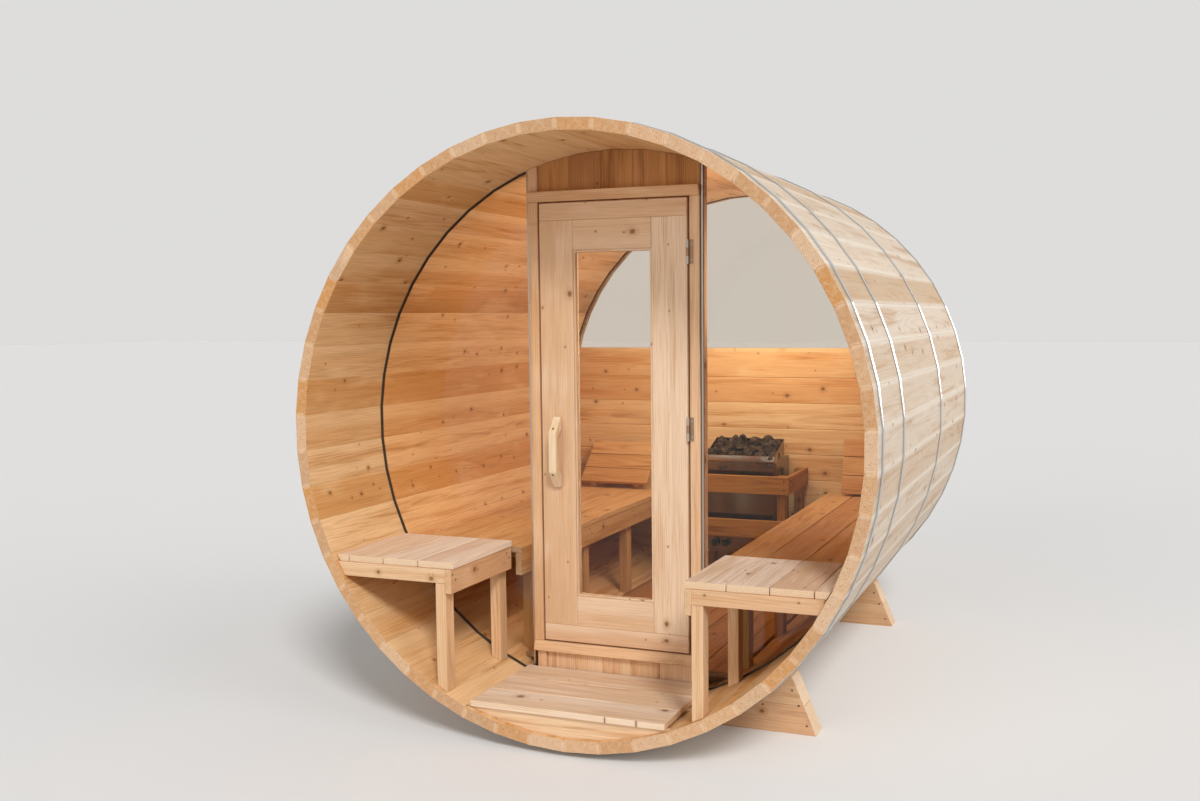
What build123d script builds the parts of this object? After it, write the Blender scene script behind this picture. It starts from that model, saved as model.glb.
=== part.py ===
from build123d import *
import math
import os

# Barrel sauna with an open porch. Millimetres, +Z up, front at -Y, origin on the ground under the middle.

# Barrel shell: staves round a level axis
stave_count = 50
outer_flat = 1054.0
stave_thickness = 42.0
barrel_length = 2330.0
ground_clearance = 20.0
bead_width = 24.0
bead_height = 4.0
board_gap = 0.3
seat_gap = 0.3
croze_depth = 6.0

# Steel bands: one near the open end, one over each end wall, one between
front_band_place = 66.0
middle_band_share = 0.6
band_lead = 4.0
band_width = 22.0
band_thickness = 5.0
band_clearance = 0.2
buckle_stave = 17
buckle_span = 90.0
buckle_rod = 8.0
lug_thickness = 4.0
nut_height = 6.0

# Cradles
cradle_front_lead = 22.0
cradle_rear_lead = 108.0
cradle_depth = 90.0
cradle_half_width = 758.0
cradle_top_half_width = 669.0
cradle_height = 210.0
cradle_tip_radius = 24.0
cradle_board_height = 105.0

# Front wall, set back behind the porch
porch_depth = 466.0
post_width = 38.0
post_depth = 89.0
post_lead = 6.0
door_lead = 2.0
trim_lead = 16.0
trim_flush_lead = 1.0
trim_height = 37.0
header_height = 140.0
header_setback = 4.0
kick_board_setback = 2.0
low_post_inset = 12.0
stop_width = 14.0
wall_board_thickness = 28.0
door_boards_across = 5

# Door leaf: its height is what the header and the sill leave
door_width = 580.0
door_bottom = 263.0
door_thickness = 38.0
door_side_gap = 8.0
door_end_gap = 6.0
stile_width = 135.0
end_rail_height = 63.0
upper_rail_height = 110.0
lower_rail_height = 114.0
bead_strip_width = 8.0
bead_strip_depth = 13.0
door_glass_thickness = 6.0

# Hinges
hinge_inset = 191.0
hinge_length = 85.0
hinge_leaf_lead = 1.0
hinge_leaf_gap = 0.2
hinge_leaf_width = 30.0
hinge_leaf_thickness = 2.0
knuckle_radius = 5.5
knuckle_gap = 0.5
face_plate_width = 15.0

# Door handle, sawn from one board
handle_offset = 66.0
handle_drop = 232.0
handle_height = 266.0
handle_width = 32.0
handle_reach = 56.0
handle_slope = 48.0
handle_grip = 22.0
handle_foot = 46.0
handle_end = 12.0
handle_splay = 34.0
handle_round = 14.0

# Glass, gasket and post channel
glass_thickness = 8.0
glass_setback = 6.0
gasket_height = 7.0
gasket_lip = 1.5
gasket_bite = 4.5
post_seal = 3.0
channel_width = 7.0
channel_wall = 1.6
channel_lip = 1.0
pane_edge_gap = 2.0
pane_clearance = 0.6

# Rear wall: tongued boards below, glass above
rear_wall_inset = 70.0
rear_wall_thickness = 38.0
rear_wall_rise = 228.0
rear_board_height = 129.0
rear_cap_height = 20.0
tongue_width = 10.0
tongue_height = 7.0
board_edge_cut = 3.0

# Porch deck and cabin floor
deck_top = 157.0
deck_boards = 3
deck_gap = 3.0
deck_end_gap = 14.0
deck_thickness = 22.0
deck_front = 9.0
fascia_setback = 12.0
fascia_thickness = 22.0
floor_top = 176.0
floor_board = 140.0
floor_boards = 6
floor_gap = 3.0
floor_thickness = 22.0
floor_front_gap = 5.0
floor_rear_gap = 2.0
bearer_count = 3
bearer_inset = 135.0
bearer_thickness = 40.0

# Benches
bench_board = 140.0
bench_gap = 3.5
bench_thickness = 24.0
bench_side_gap = 4.0
porch_bench_top = 636.0
porch_bench_inner = 428.0
porch_bench_front = 20.0
porch_bench_back = 6.0
cabin_bench_top = 606.0
cabin_bench_inner = 402.0
apron_thickness = 24.0
apron_height = 86.0
apron_setback = 3.0
rail_height = 50.0
rail_thickness = 38.0
rail_lead = 8.0
leg_width = 40.0
leg_depth = 56.0
porch_leg_setback = 2.0
cabin_leg_count = 4
cabin_leg_front_inset = 189.0
cabin_leg_rear_inset = 120.0
cabin_bench_front_gap = 12.0
cabin_bench_rear_gap = 3.0

# Backrests at the rear ends of the cabin benches
slat_height = 89.0
slat_thickness = 18.0
slat_gap = 3.0
slat_count = 3
slat_length = 370.0
backrest_inner = 488.0
backrest_angle = 16.0
headrest_angle = 46.0
backrest_batten = 32.0
backrest_batten_inset = 50.0

# Heater, hung on the rear wall
heater_middle = 25.0
heater_width = 350.0
heater_depth = 280.0
heater_bottom = 332.0
heater_case_height = 455.0
heater_front_height = 476.0
heater_back_height = 545.0
heater_wall_gap = 16.0
heater_sheet = 3.0
tray_depth = 187.0
stone_bed_depth = 120.0
tray_rim_height = 28.0
tray_rim_lead = 6.0
tray_rim_depth = 20.0
bracket_inset = 60.0
bracket_bottom = 90.0
bracket_top = 400.0
stone_columns = 5
stone_rows = 3
stone_gap = 2.5
stone_cut = 9.0
knob_radius = 17.0
knob_sides = 20
knob_length = 22.0
knob_rise = 46.0
knob_spacing = 54.0
knob_offset = -94.0

# Wooden guard round the heater
guard_clearance = 95.0
guard_board = 86.0
guard_thickness = 19.0
guard_post = 42.0
guard_rail_tops = (725.0, 511.0)

# Places worked out from the sizes above
pitch = 360.0 / stave_count
half_pitch = math.radians(pitch / 2)
inner_flat = outer_flat - stave_thickness
outer_corner = outer_flat / math.cos(half_pitch)
axis_height = ground_clearance + outer_corner
front = -barrel_length / 2
rear_y = -front - rear_wall_inset
wall_y = front + porch_depth
beyond = 2 * outer_corner
post_face_y = wall_y - post_lead
door_face_y = post_face_y - door_lead
door_half = door_width / 2
post_inner = door_half + door_side_gap
post_outer = post_inner + post_width
channel_inner = post_outer + post_seal
sill_top = door_bottom - door_end_gap
sill_bottom = sill_top - trim_height
head_top = axis_height + inner_flat - header_height
head_bottom = head_top - trim_height
door_top = head_bottom - door_end_gap
door_middle = (door_bottom + door_top) / 2
glass_y = wall_y + glass_setback
hinge_x = door_half + door_side_gap / 2
hinge_y = door_face_y - knuckle_radius - knuckle_gap
hinge_heights = (door_bottom + hinge_inset, door_middle, door_top - hinge_inset)
handle_bottom = door_middle - handle_drop
rear_wall_top = axis_height + rear_wall_rise
rear_pane_radius = inner_flat + croze_depth - gasket_height + gasket_bite


def box(x0, x1, y0, y1, z0, z1):
    """A block between two opposite corners."""
    block = Box(x1 - x0, y1 - y0, z1 - z0, align=(Align.MIN, Align.MIN, Align.MIN))
    return Pos(x0, y0, z0) * block


def across(shape, y0, y1):
    """A flat shape drawn about the barrel axis, X to the right and Y up, made solid from y0 to y1."""
    plane = Plane(origin=(0, y1, axis_height), x_dir=(1, 0, 0), z_dir=(0, -1, 0))
    return extrude(plane * shape, amount=y1 - y0)


def ring_shape(flat):
    """The many-sided outline with its flats at a distance from the axis and a corner at the top."""
    corner = flat / math.cos(half_pitch)
    angles = [math.radians(90 + pitch * index) for index in range(stave_count)]
    return Polygon(*[(corner * math.cos(a), corner * math.sin(a)) for a in angles], align=None)


def inside(flat, y0, y1):
    """The solid that fills the barrel out to its flats."""
    return across(ring_shape(flat), y0, y1)


def mirrored(shape):
    """The same piece on the other side of the middle."""
    return mirror(shape, about=Plane.YZ)


def save(name, pieces):
    """Writes the solids of one sub-part to its own file."""
    solids = [solid for piece in pieces for solid in piece.solids()]
    export_step(Compound(children=solids), "parts/" + name + ".step")


def stave_shape():
    """One stave in section, upright over the axis: a cove in its right edge and a bead on its left."""
    inner_corner = inner_flat / math.cos(half_pitch)
    middle = (inner_flat + outer_flat) / 2

    def edge_point(side, radius, shift):
        x = radius * math.sin(half_pitch) + shift * math.cos(half_pitch)
        y = radius * math.cos(half_pitch) - shift * math.sin(half_pitch)
        return (side * x, y)

    back = -board_gap / 2
    low = middle - bead_width / 2
    high = middle + bead_width / 2
    right = [edge_point(1, radius, back) for radius in (inner_corner, low, high, outer_corner)]
    left = [edge_point(-1, radius, back) for radius in (inner_corner, low, high, outer_corner)]
    cove = edge_point(1, middle, back - bead_height)
    bead = edge_point(-1, middle, back + bead_height)
    outline = [
        Line(right[0], right[1]),
        ThreePointArc(right[1], cove, right[2]),
        Line(right[2], right[3]),
        Line(right[3], left[3]),
        Line(left[3], left[2]),
        ThreePointArc(left[2], bead, left[1]),
        Line(left[1], left[0]),
        Line(left[0], right[0]),
    ]
    return make_face(Curve() + outline)


def staves(first, count):
    """Neighbouring staves, counted clockwise from the top joint, with the croze that holds the rear wall."""
    turn_pivot = Pos(0, 0, axis_height)
    stave = turn_pivot.inverse() * across(stave_shape(), front, -front)
    croze_low = rear_y - board_gap
    croze_high = rear_y + rear_wall_thickness + board_gap
    croze = box(-stave_thickness * 3, stave_thickness * 3, croze_low, croze_high, 0, inner_flat + croze_depth)
    stave = stave - croze
    return [turn_pivot * Rot(0, pitch * (first + index + 0.5), 0) * stave for index in range(count)]


def rear_fill():
    """The space that the rear wall fills, out to the bottom of the croze."""
    return inside(inner_flat + croze_depth - seat_gap, rear_y, rear_y + rear_wall_thickness)


def band_places():
    """Middles of the bands along the barrel: the second and the last lie over the two end walls."""
    return (
        front + front_band_place,
        wall_y - band_lead,
        front + barrel_length * middle_band_share,
        rear_y + band_lead / 2,
    )


def band(middle_y):
    """A steel band drawn tight by a threaded rod between two turned-up lugs."""
    y0 = middle_y - band_width / 2
    y1 = middle_y + band_width / 2
    foot = outer_flat + band_clearance
    strip = inside(foot + band_thickness, y0, y1) - inside(foot, y0 - 1, y1 + 1)
    half_span = buckle_span / 2
    lug_height = buckle_rod * 2
    gap = box(-half_span, half_span, y0 - 1, y1 + 1, foot - lug_height, foot + lug_height)
    lug = box(half_span, half_span + lug_thickness, y0, y1, foot, foot + lug_height)
    rod_half = half_span + lug_thickness + 2 * nut_height
    rod = extrude(RegularPolygon(buckle_rod / 2, 8), amount=rod_half, both=True)
    nut = extrude(RegularPolygon(buckle_rod * 0.8, 6), amount=nut_height)
    nut_place = Pos(0, 0, half_span + lug_thickness - board_gap)
    on_rod_line = Pos(0, middle_y, foot + lug_height * 0.6) * Rot(0, 90, 0)
    buckle = on_rod_line * rod + on_rod_line * nut_place * nut + lug
    buckle = buckle + mirrored(on_rod_line * nut_place * nut) + mirrored(lug)
    over_stave = Pos(0, 0, axis_height) * Rot(0, -pitch * (buckle_stave + 0.5), 0)
    return strip - over_stave * gap + over_stave * buckle


def cradle(y0):
    """Stacked boards, cut to the barrel and sloped at both ends."""
    y1 = y0 + cradle_depth
    top = cradle_height - axis_height
    foot = -axis_height
    outline = Polygon(
        (-cradle_half_width, foot),
        (cradle_half_width, foot),
        (cradle_top_half_width, top),
        (-cradle_top_half_width, top),
        align=None,
    )
    tips = outline.vertices().group_by(Axis.Y)[-1]
    blank = across(fillet(tips, cradle_tip_radius), y0, y1)
    blank = blank - inside(outer_flat + seat_gap, y0 - 1, y1 + 1)
    layers = []
    bottom = 0.0
    while bottom < cradle_height:
        top_edge = bottom + cradle_board_height - board_gap
        slab = box(-beyond, beyond, y0 - 1, y1 + 1, bottom, top_edge)
        layers.append(blank & slab)
        bottom = bottom + cradle_board_height
    return layers


def door_posts():
    """The two posts that frame the door, with a stop strip, and their short runs above and below.

    Above the door the boards run on over the right post, which stands behind them there.
    """
    y0 = post_face_y
    y1 = post_face_y + post_depth
    stop_y = door_face_y + door_thickness + door_end_gap
    fill = inside(inner_flat - seat_gap, y0 - 1, y1 + 1)
    pieces = []
    spans = (
        (0.0, sill_bottom - board_gap),
        (sill_top + board_gap, head_bottom - board_gap),
        (head_top + board_gap, 2 * axis_height),
    )
    for index, (low, high) in enumerate(spans):
        inset = low_post_inset if index == 0 else 0.0
        pieces.append(box(post_inner - inset, post_outer - inset, y0, y1, low, high))
    pieces[1] = pieces[1] + box(post_inner - stop_width, post_inner, stop_y, y1, spans[1][0], spans[1][1])
    left = [mirrored(piece & fill) for piece in pieces]
    behind = wall_y + header_setback + wall_board_thickness + board_gap
    pieces[2] = box(post_inner, post_outer, behind, y1, spans[2][0], spans[2][1])
    return left + [piece & fill for piece in pieces]


def door_frame_trims():
    """The head and the sill that run across the posts, their faces sloping out away from the door."""
    y1 = post_face_y + post_depth
    stop_y = door_face_y + door_thickness + door_end_gap
    plane = Plane(origin=(0, 0, 0), x_dir=(0, 1, 0), z_dir=(1, 0, 0))
    bars = []
    for flush_z, proud_z in ((head_bottom, head_top), (sill_top, sill_bottom)):
        flush_y = post_face_y - trim_flush_lead
        proud_y = post_face_y - trim_lead
        section = Polygon((flush_y, flush_z), (proud_y, proud_z), (y1, proud_z), (y1, flush_z), align=None)
        bars.append(extrude(plane * section, amount=post_outer, both=True))
    head, sill = bars
    stop_half = post_inner - stop_width - board_gap
    head = head + box(-stop_half, stop_half, stop_y, y1, head_bottom - stop_width, head_bottom)
    sill = sill + box(-stop_half, stop_half, stop_y, y1, sill_top, sill_top + stop_width)
    return [head, sill]


def upright_boards(low, high, setback, left, right):
    """Upright boards side by side from left to right, cut to the barrel."""
    y0 = wall_y + setback
    y1 = y0 + wall_board_thickness
    fill = inside(inner_flat - seat_gap, y0 - 1, y1 + 1)
    width = (right - left) / door_boards_across
    boards = []
    for index in range(door_boards_across):
        x0 = left + index * width + board_gap / 2
        board = box(x0, x0 + width - board_gap, y0, y1, low, high)
        boards.append(board & fill)
    return boards


def front_glass_left():
    """The fixed pane left of the door: straight at the post, curved along the staves."""
    radius = inner_flat - gasket_height + gasket_bite
    pane = across(Circle(radius), glass_y, glass_y + glass_thickness)
    edge = channel_inner + channel_wall + pane_edge_gap
    return pane & box(-beyond, -edge, glass_y - 1, glass_y + glass_thickness + 1, 0, 2 * axis_height)


def glass_channel():
    """The slim metal channel that holds the upright edge of a pane at its post."""
    pane_back = glass_y + glass_thickness
    y0 = glass_y - channel_wall - channel_lip
    y1 = pane_back + channel_wall + channel_lip
    outside = channel_inner + channel_width
    bar = box(channel_inner + board_gap, outside, y0, y1, 0, 2 * axis_height)
    slot = box(channel_inner + channel_wall, beyond, glass_y - seat_gap, pane_back + seat_gap, -1, 2 * beyond)
    return (bar - slot) & inside(inner_flat - seat_gap, y0 - 1, y1 + 1)


def rim_gasket(base, y0, keep):
    """A rubber edging between a pane and its base on the staves, kept where the given block reaches."""
    y1 = y0 + glass_thickness
    top = base - gasket_height
    ring = inside(base - seat_gap, y0 - gasket_lip, y1 + gasket_lip)
    ring = ring - inside(top, y0 - 2 * gasket_lip, y1 + 2 * gasket_lip)
    groove = inside(top + gasket_bite + pane_clearance, y0 - seat_gap, y1 + seat_gap)
    return (ring - groove) & keep


def post_seal_strip():
    """The black strip between the right post and its glass channel."""
    y0 = glass_y - channel_wall
    y1 = glass_y + glass_thickness + channel_wall
    strip = box(post_outer + seat_gap, channel_inner, y0, y1, 0, 2 * axis_height)
    return strip & inside(inner_flat - seat_gap, y0 - 1, y1 + 1)


def glass_gaskets():
    """Edging of the two front panes and of the rear pane, and the strips at the posts."""
    reach = channel_inner + channel_width + seat_gap
    right = rim_gasket(inner_flat, glass_y, box(reach, beyond, wall_y, -front, 0, 2 * axis_height))
    sill = rear_wall_top + rear_cap_height + seat_gap
    rear_keep = box(-beyond, beyond, wall_y, -front, sill, 2 * axis_height)
    rear = rim_gasket(inner_flat + croze_depth, rear_y + glass_setback, rear_keep)
    seal = post_seal_strip()
    return [right, mirrored(right), rear, seal, mirrored(seal)]


def tongued_board(low, high, tongue):
    """A level board in section, from its groove below to its tongue above, its face edges cut to a V."""
    y0 = rear_y
    y1 = rear_y + rear_wall_thickness
    middle = (y0 + y1) / 2
    cut = board_edge_cut
    groove = tongue_width / 2 + board_gap / 2
    groove_top = low + tongue_height + board_gap
    below = [
        (y0, low + cut),
        (y0 + cut, low),
        (middle - groove, low),
        (middle - groove, groove_top),
        (middle + groove, groove_top),
        (middle + groove, low),
        (y1 - cut, low),
        (y1, low + cut),
    ]
    above = [(y1, high), (y0, high)]
    if tongue:
        half = tongue_width / 2
        above = [
            (y1, high - cut),
            (y1 - cut, high),
            (middle + half, high),
            (middle + half, high + tongue_height),
            (middle - half, high + tongue_height),
            (middle - half, high),
            (y0 + cut, high),
            (y0, high - cut),
        ]
    plane = Plane(origin=(0, 0, 0), x_dir=(0, 1, 0), z_dir=(1, 0, 0))
    return extrude(plane * Polygon(*(below + above), align=None), amount=beyond, both=True)


def rear_wall_boards():
    """Level boards of the rear wall, tongue into groove, set in the croze."""
    fill = rear_fill()
    lowest = ground_clearance + stave_thickness
    boards = []
    high = rear_wall_top
    while high > lowest:
        low = high - rear_board_height + board_gap
        boards.append(tongued_board(low, high, high < rear_wall_top) & fill)
        high = high - rear_board_height
    return boards


def rear_cap():
    """The slotted rail on top of the rear boards that takes the lower edge of the rear pane."""
    high = rear_wall_top + rear_cap_height
    slot_y = rear_y + glass_setback - seat_gap
    slot_width = glass_thickness + 2 * seat_gap
    rail = box(-beyond, beyond, rear_y, rear_y + rear_wall_thickness, rear_wall_top + board_gap, high)
    slot = box(-beyond, beyond, slot_y, slot_y + slot_width, high - gasket_bite, high + 1)
    return (rail - slot) & rear_fill()


def rear_glass():
    """The half-moon pane above the rear boards."""
    y0 = rear_y + glass_setback
    y1 = y0 + glass_thickness
    low = rear_wall_top + rear_cap_height - gasket_bite + pane_clearance
    return across(Circle(rear_pane_radius), y0, y1) & box(-beyond, beyond, y0, y1, low, 2 * axis_height)


def half_chord(height):
    """Half the width between the staves at a height above the ground."""
    rise = height - axis_height
    widths = []
    for index in range(stave_count):
        angle = 2 * half_pitch * (index + 0.5) - math.pi / 2
        if math.cos(angle) > half_pitch / 2:
            widths.append((inner_flat - rise * math.sin(angle)) / math.cos(angle))
    return min(widths)


def porch_deck():
    """Boards laid across the porch floor on three bearers, their ends just clear of the staves."""
    half = half_chord(deck_top - deck_thickness) - deck_end_gap
    y0 = front + deck_front
    reach = porch_depth - post_lead - deck_front
    width = (reach - deck_gap * deck_boards) / deck_boards
    boards = []
    for index in range(deck_boards):
        start = y0 + index * (width + deck_gap)
        boards.append(box(-half, half, start, start + width, deck_top - deck_thickness, deck_top))
    return boards


def porch_bearer_places():
    """Front faces of the porch bearers: the visible one at the front, one in the middle, one at the wall."""
    first = front + deck_front + fascia_setback
    last = post_face_y - fascia_thickness - deck_gap
    return first, (first + last) / 2, last


def half_moon(y0, thickness, top):
    """A bearer that fills the barrel below a height."""
    fill = inside(inner_flat - seat_gap, y0, y0 + thickness)
    return fill & box(-beyond, beyond, y0 - 1, y0 + thickness + 1, 0, top)


def floor_bearer_places():
    """Front faces of the bearers under the cabin floor, evenly spaced between the walls."""
    first = wall_y + bearer_inset
    last = rear_y - bearer_inset - bearer_thickness
    return [first + (last - first) * index / (bearer_count - 1) for index in range(bearer_count)]


def cabin_floor():
    """Lengthwise floor boards between the front and rear walls."""
    y0 = wall_y + post_depth + floor_front_gap
    y1 = rear_y - floor_rear_gap
    low = floor_top - floor_thickness
    fill = inside(inner_flat - seat_gap, y0 - 1, y1 + 1)
    total = floor_boards * floor_board + (floor_boards - 1) * floor_gap
    boards = []
    for index in range(floor_boards):
        x0 = -total / 2 + index * (floor_board + floor_gap)
        board = box(x0, x0 + floor_board, y0, y1, low, floor_top)
        boards.append(board & fill)
    return boards


def bench_top(top, inner, y0, y1):
    """Lengthwise bench boards on the right side, as many as reach the staves, the last one trimmed."""
    fill = inside(inner_flat - bench_side_gap, y0, y1)
    reach = half_chord(top - bench_thickness) - bench_side_gap - bench_gap
    boards = []
    x0 = inner
    while x0 < reach:
        board = box(x0, x0 + bench_board, y0, y1, top - bench_thickness, top)
        boards.append(board & fill)
        x0 = x0 + bench_board + bench_gap
    return boards


def bench_frame(top, inner, y0, y1, stations, lead):
    """Apron along the inner edge, and a cross rail and a leg at each station on the right side."""
    under = top - bench_thickness - board_gap
    fill = inside(inner_flat - seat_gap, front, -front)
    apron_x = inner + apron_setback
    apron = box(apron_x, apron_x + apron_thickness, y0 - lead, y1, under - apron_height, under)
    behind = apron_x + apron_thickness + board_gap
    pieces = [apron]
    for rail_y, leg_y in stations:
        rail = box(behind, beyond, rail_y, rail_y + rail_thickness, under - rail_height, under)
        leg_top = under - rail_height - board_gap
        leg = box(behind, behind + leg_width, leg_y, leg_y + leg_depth, 0, leg_top)
        pieces.append(rail & fill)
        pieces.append(leg & fill)
    return pieces


def porch_bench_span():
    """Front and back ends of the porch bench boards."""
    return front + porch_bench_front, wall_y - porch_bench_back


def porch_bench_frame():
    """Frame of the right porch bench: a rail and a leg at the front and at the glass."""
    y0, y1 = porch_bench_span()
    front_face = y0 - rail_lead
    stations = (
        (front_face, front_face + porch_leg_setback),
        (y1 - rail_thickness, y1 - leg_depth),
    )
    return bench_frame(porch_bench_top, porch_bench_inner, y0, y1, stations, rail_lead)


def cabin_bench_span():
    """Front and back ends of the cabin bench boards."""
    return glass_y + glass_thickness + cabin_bench_front_gap, rear_y - cabin_bench_rear_gap


def cabin_bench_frame():
    """Frame of the right cabin bench."""
    y0, y1 = cabin_bench_span()
    first = wall_y + cabin_leg_front_inset
    last = rear_y - cabin_leg_rear_inset
    stations = []
    for index in range(cabin_leg_count):
        middle = first + (last - first) * index / (cabin_leg_count - 1)
        stations.append((middle - rail_thickness / 2, middle - leg_depth / 2))
    return bench_frame(cabin_bench_top, cabin_bench_inner, y0, y1, stations, 0.0)


def backrest(angle):
    """Level slats on two battens, leaning back towards the rear wall, on the right side."""
    slope = math.radians(angle)
    run = slat_count * slat_height + (slat_count - 1) * slat_gap
    thick = slat_thickness + backrest_batten
    pieces = []
    for index in range(slat_count):
        z0 = index * (slat_height + slat_gap)
        pieces.append(box(0, slat_length, 0, slat_thickness, z0, z0 + slat_height))
    for start in (backrest_batten_inset, slat_length - backrest_batten_inset - backrest_batten):
        batten = box(start, start + backrest_batten, slat_thickness + board_gap, thick, 0, run)
        pieces.append(batten)
    base_y = rear_y - seat_gap - run * math.sin(slope) - thick * math.cos(slope)
    base_z = cabin_bench_top + seat_gap + thick * math.sin(slope)
    stand = Pos(backrest_inner, base_y, base_z) * Rot(-angle, 0, 0)
    fill = inside(inner_flat - seat_gap, wall_y, -front)
    return [stand * piece & fill for piece in pieces]


def heater_places():
    """Left side, right side, front and back of the heater."""
    back = rear_y - heater_wall_gap
    half = heater_width / 2
    return heater_middle - half, heater_middle + half, back - heater_depth, back


def heater_body():
    """A sheet-metal case with a sloping open tray for the stones at its front, on a wall bracket."""
    x0, x1, y0, y1 = heater_places()
    low = heater_bottom
    sheet = heater_sheet
    tray_back = y0 + tray_depth
    side = Polygon(
        (y0, low),
        (y1, low),
        (y1, low + heater_case_height),
        (tray_back, low + heater_case_height),
        (tray_back, low + heater_back_height),
        (y0, low + heater_front_height),
        align=None,
    )
    plane = Plane(origin=(x0, 0, 0), x_dir=(0, 1, 0), z_dir=(1, 0, 0))
    case = extrude(plane * side, amount=x1 - x0)
    bed_low = low + heater_front_height - stone_bed_depth
    case_top = low + heater_back_height + 1
    bed = box(x0 + sheet, x1 - sheet, y0 + sheet, tray_back - sheet, bed_low, case_top)
    works = box(x0 + sheet, x1 - sheet, y0 + sheet, y1 - sheet, low - 1, bed_low - sheet)
    works_top = low + heater_case_height - sheet
    works = works + box(x0 + sheet, x1 - sheet, tray_back, y1 - sheet, low - 1, works_top)
    rim_top = low + heater_front_height + 1
    lead = tray_rim_lead
    rim = box(x0 - lead, x1 + lead, y0 - lead, y0 + tray_rim_depth, rim_top - tray_rim_height, rim_top)
    bracket_x0 = x0 + bracket_inset
    bracket_x1 = x1 - bracket_inset
    bracket_end = rear_y - seat_gap
    bracket = box(bracket_x0, bracket_x1, y1 - 1, bracket_end, low + bracket_bottom, low + bracket_top)
    return case + rim + bracket - bed - works


def heater_knobs():
    """Round control knobs low on the heater's face."""
    face = heater_places()[2] - seat_gap
    knobs = []
    for side in (-1, 1):
        x = heater_middle + knob_offset + side * knob_spacing / 2
        knob = extrude(Plane.XZ * RegularPolygon(knob_radius, knob_sides), amount=knob_length)
        knobs.append(Pos(x, face, heater_bottom + knob_rise) * knob)
    return knobs


def heater_stones():
    """Stones lying in rows in the open top of the heater, higher towards the back."""
    x0, x1, y0 = heater_places()[:3]
    bed_low = heater_bottom + heater_front_height - stone_bed_depth + seat_gap
    left = x0 + heater_sheet + stone_gap / 2
    near = y0 + heater_sheet + stone_gap / 2
    cell_x = (x1 - x0 - 2 * heater_sheet - stone_gap) / stone_columns
    cell_y = (tray_depth - 2 * heater_sheet - stone_gap) / stone_rows
    row_rise = (heater_back_height - heater_front_height) / stone_rows
    stones = []
    for row in range(stone_rows):
        for column in range(stone_columns):
            wobble = (row * 7 + column * 5) % 9 / 9
            height = stone_bed_depth + row * row_rise + (2 * wobble - 2) * stone_cut
            block = Box(cell_x - stone_gap, cell_y - stone_gap, height)
            block = chamfer(block.edges().group_by(Axis.Z)[-1], stone_cut * (1 + wobble))
            middle_x = left + cell_x * (column + 0.5)
            middle_y = near + cell_y * (row + 0.5)
            stones.append(Pos(middle_x, middle_y, bed_low + height / 2) * block)
    return stones


def heater_guard():
    """Two rows of level boards round the heater on four posts, ending at the rear wall."""
    x0, x1, y0 = heater_places()[:3]
    left = x0 - guard_clearance
    right = x1 + guard_clearance
    face = y0 - guard_clearance
    end = rear_y - seat_gap
    pieces = []
    for top in guard_rail_tops:
        low = top - guard_board
        pieces.append(box(left, right, face, face + guard_thickness, low, top))
        side_y = face + guard_thickness + board_gap
        pieces.append(box(left, left + guard_thickness, side_y, end, low, top))
        pieces.append(box(right - guard_thickness, right, side_y, end, low, top))
    post_low = floor_top + seat_gap
    post_high = guard_rail_tops[0]
    for x in (left + guard_thickness + board_gap, right - guard_thickness - board_gap - guard_post):
        for y in (face + guard_thickness + board_gap, end - guard_post):
            pieces.append(box(x, x + guard_post, y, y + guard_post, post_low, post_high))
    return pieces


def window_span():
    """Half width, bottom and top of the opening through the door leaf."""
    low = door_bottom + end_rail_height + lower_rail_height
    high = door_top - end_rail_height - upper_rail_height
    return door_half - stile_width, low, high


def door_leaf():
    """Stiles between full-width end rails, with a second rail inside each end."""
    y0 = door_face_y
    y1 = y0 + door_thickness
    half, low, high = window_span()
    gap = board_gap
    bottom_rail = box(-door_half, door_half, y0, y1, door_bottom, door_bottom + end_rail_height)
    top_rail = box(-door_half, door_half, y0, y1, door_top - end_rail_height, door_top)
    stile_low = door_bottom + end_rail_height + gap
    stile_high = door_top - end_rail_height - gap
    stile = box(half, door_half, y0, y1, stile_low, stile_high)
    lower_rail = box(-half + gap, half - gap, y0, y1, stile_low, low)
    upper_rail = box(-half + gap, half - gap, y0, y1, high, stile_high)
    return [bottom_rail, top_rail, stile, mirrored(stile), lower_rail, upper_rail]


def door_glass():
    """The tall pane in the door."""
    half, low, high = window_span()
    half = half - seat_gap
    y0 = door_face_y + (door_thickness - door_glass_thickness) / 2
    return [box(-half, half, y0, y0 + door_glass_thickness, low + seat_gap, high - seat_gap)]


def door_beads():
    """Glazing beads on both faces of the door pane."""
    half, low, high = window_span()
    strip = bead_strip_width
    gap = seat_gap
    pane_front = door_face_y + (door_thickness - door_glass_thickness) / 2
    frames = []
    for y0 in (pane_front - bead_strip_depth - gap, pane_front + door_glass_thickness + gap):
        y1 = y0 + bead_strip_depth
        outside = box(-half + gap, half - gap, y0, y1, low + gap, high - gap)
        opening = box(-half + strip, half - strip, y0 - 1, y1 + 1, low + strip, high - strip)
        frames.append(outside - opening)
    return frames


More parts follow.
